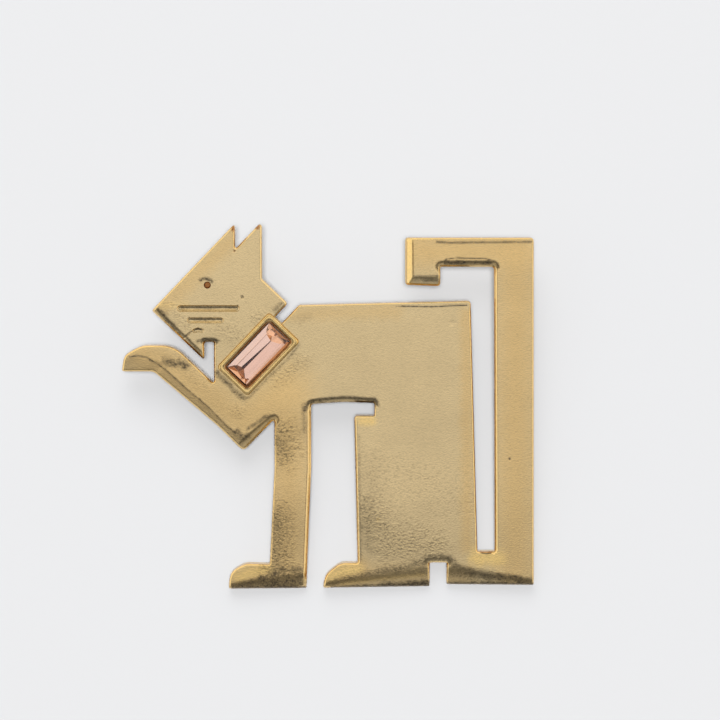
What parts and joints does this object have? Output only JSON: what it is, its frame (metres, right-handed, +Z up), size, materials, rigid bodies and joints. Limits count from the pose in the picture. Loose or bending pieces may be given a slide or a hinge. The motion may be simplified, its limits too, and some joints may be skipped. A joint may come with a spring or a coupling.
{
  "type": "figural animal brooch",
  "caption": "Flat cast metal brooch in the shape of a standing cat with a hooked tail, a baguette stone in a raised collar and a bar pin behind.",
  "frame": {"origin": "on the surface that the brooch lies on, under the middle of its box", "axes": "+X along the body from the raised paw to the tail, +Y from the soles to the ears, +Z up from the surface, out of the front face"},
  "size_m": [0.049, 0.0434, 0.0056],
  "materials": {
    "cast_metal": "satin gold colour with brown shading in its hollows",
    "stone": "faceted peach glass with a foiled back",
    "pin_metal": "plain gold colour, lightly polished"
  },
  "bodies": {
    "root": {"figure": "cast_metal", "stone": "stone", "pin_back": "pin_metal"}
  },
  "joints": []
}
